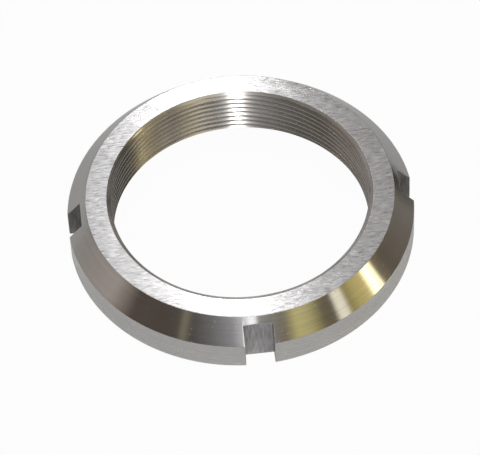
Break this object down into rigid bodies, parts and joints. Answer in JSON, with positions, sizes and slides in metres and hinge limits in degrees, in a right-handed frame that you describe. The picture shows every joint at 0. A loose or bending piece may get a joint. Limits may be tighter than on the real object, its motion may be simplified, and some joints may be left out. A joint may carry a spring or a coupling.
{
  "type": "round castle nut",
  "caption": "Threaded steel ring nut with spanner slots milled through its rim and a wide bevel round its upper edge, for clamping a bearing or gear on a shaft.",
  "frame": {"origin": "centre of the lower face, on the thread axis", "axes": "+Z along the thread axis, from the plain lower face to the ground, bevelled upper face; +X through the middle of one spanner slot"},
  "size_m": [0.1046, 0.1046, 0.0165],
  "materials": {
    "steel": "bare machined steel: ground upper face, finely turned bevel and rim, milled slots"
  },
  "bodies": {
    "root": {"castle_nut": "steel"}
  },
  "joints": []
}
